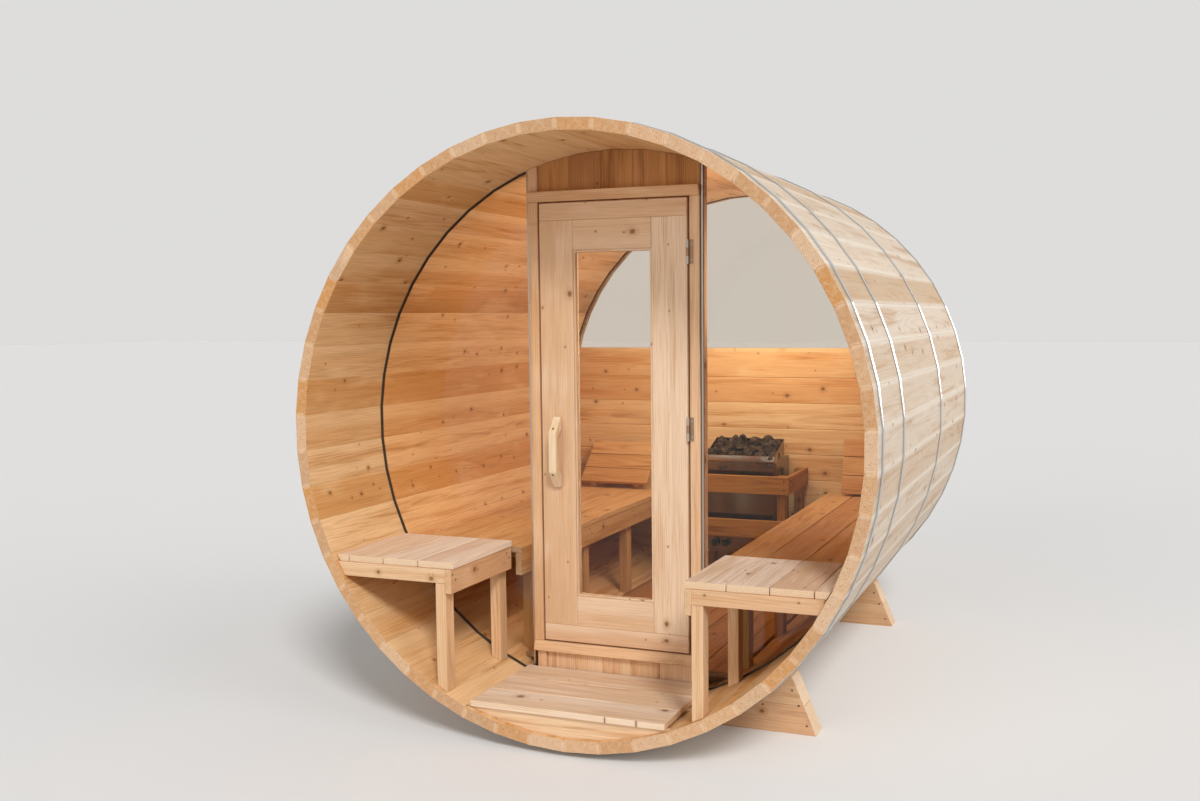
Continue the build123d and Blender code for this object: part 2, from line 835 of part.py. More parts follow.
def door_handle():
    """A bowed wooden handle with sloping ends and an opening for the hand."""
    x = -door_half + handle_offset - handle_width / 2
    face = door_face_y - seat_gap
    top = handle_bottom + handle_height
    plane = Plane(origin=(x, 0, 0), x_dir=(0, 1, 0), z_dir=(1, 0, 0))
    end_y = face - handle_end
    grip_y = face - handle_reach
    hand_y = grip_y + handle_grip
    bow = handle_slope + handle_end
    palm = handle_foot + handle_splay
    outer = Polygon(
        (face, handle_bottom),
        (face, top),
        (end_y, top),
        (grip_y, top - bow),
        (grip_y, handle_bottom + bow),
        (end_y, handle_bottom),
        align=None,
    )
    hand = Polygon(
        (face + 1, handle_bottom + handle_foot),
        (face + 1, top - handle_foot),
        (hand_y, top - palm),
        (hand_y, handle_bottom + palm),
        align=None,
    )
    blank = extrude(plane * outer, amount=handle_width)
    blank = fillet(blank.edges().filter_by(Axis.X).group_by(Axis.Y)[0], handle_round)
    slot = extrude(plane * hand, amount=handle_width)
    return [blank - slot]


def hinge_half(height, on_door):
    """One leaf of a hinge with its knuckles: outer ones on the door, the middle one on the post's face."""
    low = height - hinge_length / 2
    high = height + hinge_length / 2
    third = hinge_length / 3
    leaf_y = door_face_y + hinge_leaf_lead
    if on_door:
        x0 = door_half + hinge_leaf_gap
        spans = ((low, low + third - knuckle_gap), (high - third + knuckle_gap, high))
    else:
        x0 = post_inner - hinge_leaf_gap - hinge_leaf_thickness
        spans = ((low + third, high - third),)
    leaf = box(x0, x0 + hinge_leaf_thickness, leaf_y, leaf_y + hinge_leaf_width, low, high)
    if not on_door:
        plate_back = post_face_y - seat_gap
        plate_end = post_inner + face_plate_width
        leaf = leaf + box(x0, plate_end, plate_back - hinge_leaf_thickness, plate_back, low, high)
    for z0, z1 in spans:
        knuckle = Cylinder(knuckle_radius, z1 - z0, align=(Align.CENTER, Align.CENTER, Align.MIN))
        leaf = leaf + Pos(hinge_x, hinge_y, z0) * knuckle
        leaf = leaf + box(x0, x0 + hinge_leaf_thickness, hinge_y, leaf_y + 1, z0, z1)
    return leaf


os.makedirs("parts", exist_ok=True)

sector_staves = 5
for sector in range(stave_count // sector_staves):
    save("staves_sector_%02d" % (sector + 1), staves(sector * sector_staves, sector_staves))
save("steel_bands", [band(y) for y in band_places()])
save("cradle_front", cradle(wall_y + cradle_front_lead))
save("cradle_rear", cradle(rear_y - cradle_rear_lead - cradle_depth))

save("door_posts", door_posts())
save("door_frame_trims", door_frame_trims())
above_door = upright_boards(head_top + board_gap, 2 * axis_height, header_setback, -post_inner, post_outer)
save("boards_above_door", above_door)
low_half = post_inner - low_post_inset
below_door = upright_boards(0.0, sill_bottom - board_gap, kick_board_setback, -low_half, low_half)
save("boards_below_door", below_door)
save("front_glass_left", [front_glass_left()])
save("front_glass_right", [mirrored(front_glass_left())])
save("glass_channels", [glass_channel(), mirrored(glass_channel())])
save("glass_gaskets", glass_gaskets())
save("rear_wall_boards", rear_wall_boards() + [rear_cap()])
save("rear_glass", [rear_glass()])

save("porch_deck", porch_deck())
fascia_top = deck_top - deck_thickness - board_gap
save("porch_fascia", [half_moon(y, fascia_thickness, fascia_top) for y in porch_bearer_places()])
save("cabin_floor", cabin_floor())
bearer_top = floor_top - floor_thickness - board_gap
save("floor_bearers", [half_moon(y, bearer_thickness, bearer_top) for y in floor_bearer_places()])

porch_boards = bench_top(porch_bench_top, porch_bench_inner, *porch_bench_span())
porch_frame = porch_bench_frame()
cabin_boards = bench_top(cabin_bench_top, cabin_bench_inner, *cabin_bench_span())
cabin_frame = cabin_bench_frame()
save("porch_bench_right", porch_boards)
save("porch_bench_left", [mirrored(piece) for piece in porch_boards])
save("porch_bench_frame_right", porch_frame)
save("porch_bench_frame_left", [mirrored(piece) for piece in porch_frame])
save("cabin_bench_right", cabin_boards)
save("cabin_bench_left", [mirrored(piece) for piece in cabin_boards])
save("cabin_bench_frame_right", cabin_frame)
save("cabin_bench_frame_left", [mirrored(piece) for piece in cabin_frame])
headrest = [mirrored(piece) for piece in backrest(headrest_angle)]
save("cabin_backrests", backrest(backrest_angle) + headrest)

save("heater_body", [heater_body()])
save("heater_knobs", heater_knobs())
save("heater_stones", heater_stones())
save("heater_guard", heater_guard())

save("door_leaf", door_leaf())
save("door_glass", door_glass())
save("door_beads", door_beads())
save("door_handle", door_handle())
save("door_hinge_leaves", [hinge_half(height, True) for height in hinge_heights])
save("post_hinge_leaves", [hinge_half(height, False) for height in hinge_heights])
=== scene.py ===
import math

import bpy
import numpy as np
from mathutils import Matrix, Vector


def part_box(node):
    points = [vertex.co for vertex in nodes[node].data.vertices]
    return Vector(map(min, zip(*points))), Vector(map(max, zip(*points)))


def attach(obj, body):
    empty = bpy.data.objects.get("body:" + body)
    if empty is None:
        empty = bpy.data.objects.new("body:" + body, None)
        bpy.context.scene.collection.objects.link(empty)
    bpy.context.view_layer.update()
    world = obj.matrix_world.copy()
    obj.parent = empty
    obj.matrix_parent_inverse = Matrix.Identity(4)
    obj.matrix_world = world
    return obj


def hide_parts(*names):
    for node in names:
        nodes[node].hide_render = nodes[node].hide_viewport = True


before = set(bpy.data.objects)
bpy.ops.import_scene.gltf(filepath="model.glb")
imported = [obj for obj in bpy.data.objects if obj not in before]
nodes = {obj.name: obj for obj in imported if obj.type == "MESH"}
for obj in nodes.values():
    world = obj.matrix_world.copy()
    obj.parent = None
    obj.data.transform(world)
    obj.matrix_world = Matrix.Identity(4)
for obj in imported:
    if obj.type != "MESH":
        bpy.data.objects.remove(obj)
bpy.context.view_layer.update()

# The barrel's round of staves, in metres
STAVE_COUNT = 50
OUTER_FLAT = 1.054
INNER_FLAT = 1.012
GROUND_GAP = 0.020
HALF_THICKNESS = (OUTER_FLAT - INNER_FLAT) / 2
AXIS_HEIGHT = GROUND_GAP + OUTER_FLAT / math.cos(math.pi / STAVE_COUNT)

# Places count as one within this rounding, in steps per metre
SPOTS_PER_METRE = 1e5

# A face is a sawn end where this share of its normal, or more, lies along its board
END_SHARE = 0.6

# Growth lines, in metres. Real ones are 1 to 3 mm apart and real fibres are finer still, too fine to show
# here, so the lines are drawn 6 mm apart and the fibres 3 mm wide. A line darkens over its width as LATE_WOOD
# says, in pairs of (place in the line, darkness).
RING_SPACING = 0.006
LATE_WOOD = ((0.0, 0.0), (0.40, 0.15), (0.80, 0.95), (0.92, 0.7), (1.0, 0.05))
PITH_SPREAD = (0.12, 0.05, 0.0)
PITH_PLACE = (-0.06, 0.030, 0.0)
PITH_RUN = (1.0, 1.0, 0.012)
WANDER_REACH = 0.055
KNOT_BEND = 0.016

# How far the boards lie from one another in the patterns
BOARD_SHIFT = (37.0, 53.0, 71.0)

# Noises on a board: name, size of one mark across, through and along in millimetres, detail, roughness
BOARD_NOISES = (
    ("wander", (143, 143, 1110), 2.0, 0.5),
    ("fibre", (3.03, 3.03, 143), 3.0, 0.5),
    ("cloud", (38.5, 38.5, 556), 4.0, 0.6),
    ("patch", (111, 111, 286), 2.0, 0.5),
)
PLANER_MARK = (62.5, 62.5, 6.67)
PORE, BLOT = 3.333, 16.67

# Knots: the share of the cells that have one, and its smallest and largest radius in metres
USUAL_KNOTS = (0.3, 0.004, 0.010)
STAVE_KNOTS = (0.4, 0.0028, 0.0068)
MANY_KNOTS = (0.4, 0.004, 0.009)
FEW_KNOTS = (0.12, 0.004, 0.009)
NO_KNOTS = (0.0, 0.004, 0.010)
PIN_KNOTS = (0.2, 0.0014, 0.0030)

# The sizes of those cells, and of the bumps of a knot's outline, in metres
KNOT_CELL = 0.15
PIN_KNOT_CELL = 0.09
RAGGED_EDGE = 0.006


def linear(code, alpha=1.0):
    """The linear colour of an sRGB hex value."""
    channels = [int(code[i:i + 2], 16) / 255 for i in (1, 3, 5)]
    return [c / 12.92 if c <= 0.04045 else ((c + 0.055) / 1.055) ** 2.4 for c in channels] + [alpha]


def per_metre(size):
    """How many marks of a size in millimetres fit in a metre, which is the scale of a pattern."""
    return 1000 / size


def add(tree, kind, inputs=None, **settings):
    """Adds a shader node with its settings, and gives its inputs a value or a link.

    An input goes by its name, or by its place in the node. In a Map Range 0 is the value, 1 and 2 are the
    range it comes from, and 3 and 4 the range it goes to. In a Mix of colours 0 is the share, and 6 and 7 are
    the colours.
    """
    made = tree.nodes.new("ShaderNode" + kind)
    for name, value in settings.items():
        setattr(made, name, value)
    for name, value in (inputs or {}).items():
        if isinstance(value, bpy.types.Node):
            value = value.outputs[0]
        if isinstance(value, bpy.types.NodeSocket):
            tree.links.new(value, made.inputs[name])
        else:
            made.inputs[name].default_value = value
    return made


def new_material(name):
    """An empty material, and its node tree."""
    made = bpy.data.materials.new(name)
    made.use_nodes = True
    made.node_tree.nodes.clear()
    return made, made.node_tree


def layered(tree, base, layers):
    """The base colour with each (share, colour) laid over it in turn."""
    for share, over in layers:
        base = add(tree, "Mix", {0: share, 6: base, 7: over}, data_type="RGBA").outputs[2]
    return base


def set_ramp(node, stops):
    """Gives a colour ramp its stops, each a (place, colour), from the first to the last."""
    ramp = node.color_ramp
    for element, (place, colour) in zip(ramp.elements, (stops[0], stops[-1])):
        element.position = place
        element.color = colour
    for place, colour in stops[1:-1]:
        ramp.elements.new(place).color = colour


def solid_labels(obj):
    """A number for each vertex that says which separate solid of the mesh it is on.

    Vertices at one place count as one, and each triangle hands the lowest number of its corners to all three,
    over and over, until nothing changes.
    """
    mesh = obj.data
    places = np.empty(len(mesh.vertices) * 3)
    mesh.vertices.foreach_get("co", places)
    places = places.reshape(-1, 3)
    corners = np.empty(len(mesh.loops), int)
    mesh.loops.foreach_get("vertex_index", corners)
    spots, spot_of = np.unique(np.round(places * SPOTS_PER_METRE), axis=0, return_inverse=True)
    spot_of = spot_of.reshape(-1)
    triangles = spot_of[corners].reshape(-1, 3)
    labels = np.arange(len(spots))
    while True:
        lowest = labels[triangles].min(axis=1)
        before = labels.copy()
        for corner in range(3):
            np.minimum.at(labels, triangles[:, corner], lowest)
        labels = labels[labels]
        if (labels == before).all():
            break
    return places, np.unique(labels[spot_of], return_inverse=True)[1].reshape(-1)


def sawn_ends(mesh, label, axis_of):
    """A 1 for each face that is square to the length of its board, and a 0 for the others."""
    normal = np.empty(len(mesh.polygons) * 3)
    mesh.polygons.foreach_get("normal", normal)
    normal = np.abs(normal.reshape(-1, 3))
    first_corner = np.empty(len(mesh.polygons), int)
    mesh.polygons.foreach_get("loop_start", first_corner)
    corner_vertex = np.empty(len(mesh.loops), int)
    mesh.loops.foreach_get("vertex_index", corner_vertex)
    face_axis = axis_of[label[corner_vertex[first_corner]]]
    return (normal[np.arange(len(normal)), face_axis] > END_SHARE).astype(float)


def board_coordinates(obj, seed, along=None, round_barrel=False):
    """Gives each board of a node its own grain coordinates, as attributes of the mesh.

    grain is (across, through, along) in metres from the board's middle, along its longest side unless one is
    named. On the barrel, across is the way round from the stave's middle and through is the distance from the
    middle of its thickness. board is three random numbers, one set a board, and end is 1 on a sawn end.
    """
    places, label = solid_labels(obj)
    count = label.max() + 1
    low = np.full((count, 3), np.inf)
    high = np.full((count, 3), -np.inf)
    np.minimum.at(low, label, places)
    np.maximum.at(high, label, places)
    if round_barrel:
        turn = 2 * math.pi / STAVE_COUNT
        rise = places[:, 2] - AXIS_HEIGHT
        centre = np.zeros((count, 2))
        np.add.at(centre, label, np.stack([places[:, 0], rise], axis=1))
        stave = np.floor(np.arctan2(centre[:, 0], centre[:, 1]) / turn)[label]
        angle = (stave + 0.5) * turn
        grain = np.stack([
            places[:, 0] * np.cos(angle) - rise * np.sin(angle),
            places[:, 0] * np.sin(angle) + rise * np.cos(angle) - (INNER_FLAT + OUTER_FLAT) / 2,
            places[:, 1],
        ], axis=1)
        axis_of = np.full(count, 1)
    else:
        size = high - low
        if along is not None:
            size[:, along] = np.inf
        order = np.argsort(size, axis=1)
        middle = (low + high)[label] / 2
        grain = np.take_along_axis(places - middle, order[label][:, [1, 0, 2]], axis=1)
        axis_of = order[:, 2]
    random = np.random.default_rng(seed).random((count, 3))[label]
    sawn = sawn_ends(obj.data, label, axis_of)
    for title, kind, domain, key, values in (
        ("grain", "FLOAT_VECTOR", "POINT", "vector", grain),
        ("board", "FLOAT_VECTOR", "POINT", "vector", random),
        ("end", "FLOAT", "FACE", "value", sawn),
    ):
        attribute = obj.data.attributes.new(title, kind, domain)
        attribute.data.foreach_set(key, values.astype(np.float32).ravel())


def ease_edges(obj, width, segments=1):
    """Takes the sharp arrises off a node: joins its loose triangles into flats, then bevels the edges."""
    weld = obj.modifiers.new("join", "WELD")
    weld.merge_threshold = 1 / SPOTS_PER_METRE
    flat = obj.modifiers.new("flat", "DECIMATE")
    flat.decimate_type = "DISSOLVE"
    flat.angle_limit = math.radians(0.5)
    flat.delimit = set()
    bevel = obj.modifiers.new("ease", "BEVEL")
    bevel.width = width
    bevel.segments = segments
    bevel.limit_method = "ANGLE"
    bevel.angle_limit = math.radians(40)


def knots_in_cells(tree, flat_place, own, cell, kind):
    """One kind of knot on a board: its distance in radii, the mask of its body and the mask of its halo.

    The nearest middle of a Voronoi cell is the knot's, and the distance to it is divided by the knot's own
    radius and made ragged. The halo is the darker wood round the knot, out to four radii.
    """
    share, smallest, largest = kind
    scale = (1 / cell, 0.8 / cell, 0.0)
    spot = add(tree, "VectorMath", {0: flat_place, 1: scale, 2: own}, operation="MULTIPLY_ADD")
    cells = add(tree, "TexVoronoi", {"Vector": spot, "Scale": 1.0}, voronoi_dimensions="2D")
    chance = add(tree, "SeparateColor", {0: cells.outputs["Color"]}).outputs
    shown = add(tree, "Math", {0: chance[0], 1: share}, operation="LESS_THAN")
    radius = add(tree, "MapRange", {0: chance[1], 3: smallest, 4: largest})
    ragged = add(tree, "TexNoise", {"Vector": spot, "Scale": cell / RAGGED_EDGE, "Detail": 2.0})
    reach = add(tree, "Math", {0: ragged, 1: 0.5, 2: -0.25}, operation="MULTIPLY_ADD")
    radii = add(tree, "Math", {0: cells.outputs["Distance"], 1: cell}, operation="MULTIPLY")
    radii = add(tree, "Math", {0: radii, 1: radius}, operation="DIVIDE")
    radii = add(tree, "Math", {0: radii, 1: reach}, operation="ADD")
    masks = []
    for faded, full in ((1.35, 0.95), (4.0, 1.0)):
        mask = add(tree, "MapRange", {0: radii, 1: faded, 2: full}, interpolation_type="SMOOTHSTEP")
        masks.append(add(tree, "Math", {0: mask, 1: shown}, operation="MULTIPLY"))
    return [radii] + masks


def growth_lines(tree, wood):
    """Rings round a pith under the board, which bend round the knots and wander along the board.

    The distance to the pith, with its run along the board pressed nearly flat, is cut into rings. Each ring
    darkens slowly to its late wood and ends at once.
    """
    pith = add(tree, "VectorMath", {
        0: wood["board"], 1: PITH_SPREAD, 2: PITH_PLACE,
    }, operation="MULTIPLY_ADD")
    from_pith = add(tree, "VectorMath", {0: wood["grain"], 1: pith}, operation="ADD")
    from_pith = add(tree, "VectorMath", {0: from_pith, 1: PITH_RUN}, operation="MULTIPLY")
    ring = add(tree, "VectorMath", {0: from_pith}, operation="LENGTH").outputs["Value"]
    ring = add(tree, "Math", {0: wood["wander"], 1: WANDER_REACH, 2: ring}, operation="MULTIPLY_ADD")
    ring = add(tree, "Math", {0: wood["knot"][2], 1: KNOT_BEND, 2: ring}, operation="MULTIPLY_ADD")
    wave = add(tree, "Math", {0: ring, 1: 1 / RING_SPACING}, operation="MULTIPLY")
    wave = add(tree, "Math", {0: wave}, operation="FRACT")
    line = add(tree, "ValToRGB", {0: wave})
    set_ramp(line, [(place, (dark, dark, dark, 1.0)) for place, dark in LATE_WOOD])
    return line.outputs[0]


def board_patterns(tree, knots, figure):
    """The patterns that a board's colours are laid with, on its own grain coordinates.

    own moves each board to its own part of the patterns, and dice are its three random numbers.
    """
    grain = add(tree, "Attribute", attribute_name="grain").outputs["Vector"]
    board = add(tree, "Attribute", attribute_name="board").outputs["Vector"]
    across, through, along = add(tree, "SeparateXYZ", {0: grain}).outputs
    own = add(tree, "VectorMath", {0: board, 1: BOARD_SHIFT}, operation="MULTIPLY")
    wood = {"grain": grain, "board": board, "across": across, "through": through, "own": own}
    wood["end"] = add(tree, "Attribute", attribute_name="end").outputs["Fac"]
    wood["dice"] = add(tree, "SeparateXYZ", {0: board}).outputs
    for title, size, detail, roughness in BOARD_NOISES:
        scale = [per_metre(length) for length in size]
        place = add(tree, "VectorMath", {0: grain, 1: scale, 2: own}, operation="MULTIPLY_ADD")
        wood[title] = add(tree, "TexNoise", {
            "Vector": place, "Scale": 1.0, "Detail": detail, "Roughness": roughness,
        })
    flat_place = add(tree, "CombineXYZ", {0: across, 1: along})
    wood["knot"] = knots_in_cells(tree, flat_place, own, KNOT_CELL, knots)
    wood["pin_knot"] = knots_in_cells(tree, flat_place, own, PIN_KNOT_CELL, PIN_KNOTS)
    wood["line"] = growth_lines(tree, wood)
    wood["tone"] = add(tree, "MapRange", {0: wood["dice"][2], 3: -0.1, 4: 0.8})
    wood["streaks"] = add(tree, "MapRange", {
        0: wood["cloud"], 1: 0.46, 2: 0.70, 4: 0.85 * figure,
    }, interpolation_type="SMOOTHSTEP")
    in_streaks = add(tree, "Math", {0: wood["line"], 1: wood["streaks"]}, operation="MULTIPLY")
    in_streaks = add(tree, "Math", {0: in_streaks, 1: 0.4}, operation="MULTIPLY")
    wood["line_share"] = add(tree, "Math", {
        0: wood["line"], 1: 0.22 * figure, 2: in_streaks,
    }, operation="MULTIPLY_ADD")
    return wood


def planed_face(tree, wood, pale, warm, deep):
    """Clear planed wood: the board's own tone, heartwood streaks, a pale sapwood side, lines and fibres."""
    dice = wood["dice"]
    pink = add(tree, "MapRange", {0: dice[1], 1: 0.6, 2: 1.0, 4: 0.3})
    lift = add(tree, "MapRange", {0: wood["patch"], 1: 0.5, 2: 0.72, 4: 0.6}, interpolation_type="SMOOTHSTEP")
    side = add(tree, "Math", {0: wood["cloud"], 1: 0.04, 2: wood["across"]}, operation="MULTIPLY_ADD")
    side = add(tree, "Math", {0: dice[0], 1: 0.09, 2: side}, operation="MULTIPLY_ADD")
    sapwood = add(tree, "MapRange", {0: side, 1: 0.090, 2: 0.125, 4: 0.75}, interpolation_type="SMOOTHSTEP")
    fibre_share = add(tree, "MapRange", {0: wood["fibre"], 1: 0.45, 2: 0.8, 4: 0.35})
    return layered(tree, linear(pale), [
        (wood["tone"], linear(warm)),
        (pink, linear("#c98f6c")),
        (lift, linear(pale)),
        (wood["streaks"], linear(warm)),
        (sapwood, linear(pale)),
        (wood["line_share"], linear(deep)),
        (fibre_share, linear(deep)),
    ])


def weathered_face(tree, wood, outside):
    """The barrel's outer face: bleached, with the planer's marks across it and paler strips at the joints."""
    scale = [per_metre(length) for length in PLANER_MARK]
    place = add(tree, "VectorMath", {0: wood["grain"], 1: scale, 2: wood["own"]}, operation="MULTIPLY_ADD")
    marks = add(tree, "TexNoise", {"Vector": place, "Scale": 1.0, "Detail": 3.0})
    mark_share = add(tree, "MapRange", {0: marks, 1: 0.5, 2: 0.75, 4: 0.35})
    side = add(tree, "Math", {0: wood["across"]}, operation="ABSOLUTE")
    side = add(tree, "Math", {0: wood["cloud"], 1: 0.02, 2: side}, operation="MULTIPLY_ADD")
    joint_share = add(tree, "MapRange", {
        0: side, 1: 0.056, 2: 0.076, 4: 0.55,
    }, interpolation_type="SMOOTHSTEP")
    tan_share = add(tree, "Math", {0: wood["streaks"], 1: 0.8}, operation="MULTIPLY")
    return layered(tree, linear(outside), [
        (wood["tone"], linear("#c6a682")),
        (tan_share, linear("#c1966c")),
        (wood["line_share"], linear("#a9825c")),
        (mark_share, linear("#b8997c")),
        (joint_share, linear("#ebe2d5")),
    ])


def with_knots(tree, wood, colour, deep):
    """A board's colour with its knots over it: ringed brown ones in a darker halo, and pin knots as dots."""
    knot_radii, knot_body, knot_halo = wood["knot"]
    pin_body, pin_halo = wood["pin_knot"][1:]
    half_radii = add(tree, "Math", {0: knot_radii, 1: 0.5}, operation="MULTIPLY")
    ringed = add(tree, "ValToRGB", {0: half_radii})
    set_ramp(ringed, [(place, linear(code)) for place, code in (
        (0.12, "#4d3019"), (0.22, "#87552f"), (0.40, "#936039"), (0.50, "#583820"), (0.62, deep),
    )])
    layers = []
    for mask, strength, over in (
        (knot_halo, 0.34, linear(deep)),
        (knot_body, 0.8, ringed),
        (pin_halo, 0.3, linear(deep)),
        (pin_body, 0.75, linear("#63401f")),
    ):
        share = add(tree, "Math", {0: mask, 1: strength}, operation="MULTIPLY")
        layers.append((share, over))
    return layered(tree, colour, layers)


def sawn_end(tree, wood, end, warm, deep, is_stave):
    """A sawn end: fine pores, faint arcs, and on a stave pale crescents where bead and cove meet."""
    pores = add(tree, "TexNoise", {"Vector": wood["grain"], "Scale": per_metre(PORE), "Detail": 3.0})
    pore_share = add(tree, "MapRange", {0: pores, 1: 0.48, 2: 0.68, 4: 0.4})
    blots = add(tree, "TexNoise", {"Vector": wood["grain"], "Scale": per_metre(BLOT), "Detail": 4.0})
    blot_share = add(tree, "MapRange", {0: blots, 1: 0.45, 2: 0.70, 4: 0.3})
    arc_share = add(tree, "Math", {0: wood["line"], 1: 0.3}, operation="MULTIPLY")
    pale_share = add(tree, "MapRange", {0: wood["dice"][0], 1: 0.4, 2: 1.0, 4: 0.55})
    layers = [
        (wood["tone"], linear(warm)),
        (pale_share, linear("#e6ccb0")),
        (blot_share, linear("#e9d2b8")),
        (arc_share, linear(deep)),
        (pore_share, linear(deep)),
    ]
    if is_stave:
        side = add(tree, "Math", {0: wood["across"]}, operation="ABSOLUTE")
        side = add(tree, "MapRange", {0: side, 1: 0.052, 2: 0.064, 4: 0.45}, interpolation_type="SMOOTHSTEP")
        depth = add(tree, "Math", {0: wood["through"]}, operation="ABSOLUTE")
        depth = add(tree, "MapRange", {0: depth, 1: 0.019, 2: 0.012}, interpolation_type="SMOOTHSTEP")
        crescent = add(tree, "Math", {0: side, 1: depth}, operation="MULTIPLY")
        layers.append((crescent, linear("#e3c8aa")))
    return layered(tree, linear(end), layers)


def cedar(name, pale, warm, deep, end, knots=USUAL_KNOTS, figure=1.0, outside=None, rough=0.6, gloss=0.3):
    """Planed western red cedar: tan boards, each with its own tone, with soft streaks and small dark knots.

    pale, warm and deep are the colours of its light wood, its streaks and its growth lines, and end is a sawn
    end's. knots gives the share of the cells with a knot, and a knot's smallest and largest radius in metres.
    figure is how strongly the streaks show, and outside is the colour of the staves' weathered face. rough
    and gloss are the wood's mean roughness and its specular level. The growth lines are rings round a pith
    under the board, so they run as long flames on a flat face and as arcs on a sawn end. Birch for the handle
    is made the same way, in its own colours and without knots.
    """
    made, tree = new_material(name)
    wood = board_patterns(tree, knots, figure)
    colour = planed_face(tree, wood, pale, warm, deep)
    if outside:
        outer_skin = add(tree, "MapRange", {
            0: wood["through"], 1: HALF_THICKNESS - 0.0040, 2: HALF_THICKNESS - 0.0005,
        })
        colour = layered(tree, colour, [(outer_skin, weathered_face(tree, wood, outside))])
    colour = with_knots(tree, wood, colour, deep)
    end_colour = sawn_end(tree, wood, end, warm, deep, is_stave=outside is not None)
    colour = layered(tree, colour, [(wood["end"], end_colour)])
    relief = add(tree, "Math", {0: wood["line"], 1: 0.4, 2: wood["fibre"]}, operation="MULTIPLY_ADD")
    bump = add(tree, "Bump", {"Strength": 0.25, "Distance": 0.0006, "Height": relief})
    roughness = add(tree, "MapRange", {0: wood["fibre"], 3: rough - 0.08, 4: rough + 0.12})
    shader = add(tree, "BsdfPrincipled", {
        "Base Color": colour, "Roughness": roughness, "Normal": bump, "IOR": 1.5, "Specular IOR Level": gloss,
    })
    add(tree, "OutputMaterial", {0: shader})
    return made


def bronze_glass(name):
    """Tempered glass with a bronze tint: clear, smooth and gently darkening, with soft reflections.

    It holds back rather more than half of the lamps' light, so the room behind it stays dusky.
    """
    made, tree = new_material(name)
    pane = add(tree, "BsdfPrincipled", {
        "Base Color": linear("#f4efe8"), "Roughness": 0.0, "IOR": 1.3, "Transmission Weight": 1.0,
        "Specular IOR Level": 0.2,
    })
    passed = add(tree, "BsdfTransparent", {"Color": linear("#b2aea8")})
    lamp_ray = add(tree, "LightPath").outputs["Is Shadow Ray"]
    mixed = add(tree, "MixShader", {0: lamp_ray, 1: pane, 2: passed})
    add(tree, "OutputMaterial", {0: mixed})
    return made


def brushed_steel(name, colour, rough, lay=(1.0, 1.0, 1.0)):
    """Stainless steel or aluminium with a fine brushed lay: bright, with reflections drawn out across it.

    Real brush lines are about 0.1 mm apart, too fine to show here, so they are drawn 3.3 mm apart. lay draws
    the lines out along an axis where it is under 1.
    """
    made, tree = new_material(name)
    place = add(tree, "TexCoord").outputs["Object"]
    drawn = add(tree, "VectorMath", {0: place, 1: lay}, operation="MULTIPLY")
    lines = add(tree, "TexNoise", {"Vector": drawn, "Scale": per_metre(3.333), "Detail": 2.0})
    smear = add(tree, "TexNoise", {"Vector": place, "Scale": per_metre(111), "Detail": 3.0})
    both = add(tree, "Math", {0: lines, 1: 0.5, 2: smear}, operation="MULTIPLY_ADD")
    roughness = add(tree, "MapRange", {0: both, 1: 0.3, 2: 1.2, 3: rough * 0.7, 4: rough * 1.5})
    bump = add(tree, "Bump", {"Strength": 0.06, "Distance": 0.0002, "Height": lines})
    shader = add(tree, "BsdfPrincipled", {
        "Base Color": linear(colour), "Metallic": 1.0, "Roughness": roughness, "Normal": bump,
    })
    add(tree, "OutputMaterial", {0: shader})
    return made


def dark_finish(name, colour, rough, grit):
    """Dark rubber, moulded plastic or screw coating: dull, with a fine uneven skin, whose grit is in mm."""
    made, tree = new_material(name)
    place = add(tree, "TexCoord").outputs["Object"]
    skin = add(tree, "TexNoise", {"Vector": place, "Scale": per_metre(grit), "Detail": 3.0})
    roughness = add(tree, "MapRange", {0: skin, 3: rough - 0.1, 4: rough + 0.1})
    bump = add(tree, "Bump", {"Strength": 0.2, "Distance": 0.0003, "Height": skin})
    shader = add(tree, "BsdfPrincipled", {
        "Base Color": linear(colour), "Roughness": roughness, "Normal": bump, "Specular IOR Level": 0.2,
    })
    add(tree, "OutputMaterial", {0: shader})
    return made


def split_stone(name):
    """Dark olivine stone as sauna heaters use: nearly black where fresh, browner and dustier in patches, with
    pale specks that are partly mineral grains and partly painted glints.
    """
    made, tree = new_material(name)
    place = add(tree, "TexCoord").outputs["Object"]
    patches = add(tree, "TexNoise", {"Vector": place, "Scale": per_metre(35.7), "Detail": 5.0})
    grit = add(tree, "TexNoise", {"Vector": place, "Scale": per_metre(6.67), "Detail": 4.0})
    dusty = add(tree, "MapRange", {0: patches, 1: 0.45, 2: 0.70})
    # Pale specks: partly mineral grains, partly painted glints
    specks_and_painted_glints = add(tree, "MapRange", {0: grit, 1: 0.5, 2: 0.66, 4: 0.5})
    colour = layered(tree, linear("#1d1712"), [(dusty, linear("#54432f")), (specks_and_painted_glints, linear("#9c8a72"))])
    bump = add(tree, "Bump", {"Strength": 0.6, "Distance": 0.002, "Height": grit})
    shader = add(tree, "BsdfPrincipled", {"Base Color": colour, "Roughness": 0.8, "Normal": bump})
    add(tree, "OutputMaterial", {0: shader})
    return made


def dress(names, material):
    """Gives the CAD nodes of those names one material."""
    for name in names:
        nodes[name].data.materials.clear()
        nodes[name].data.materials.append(material)


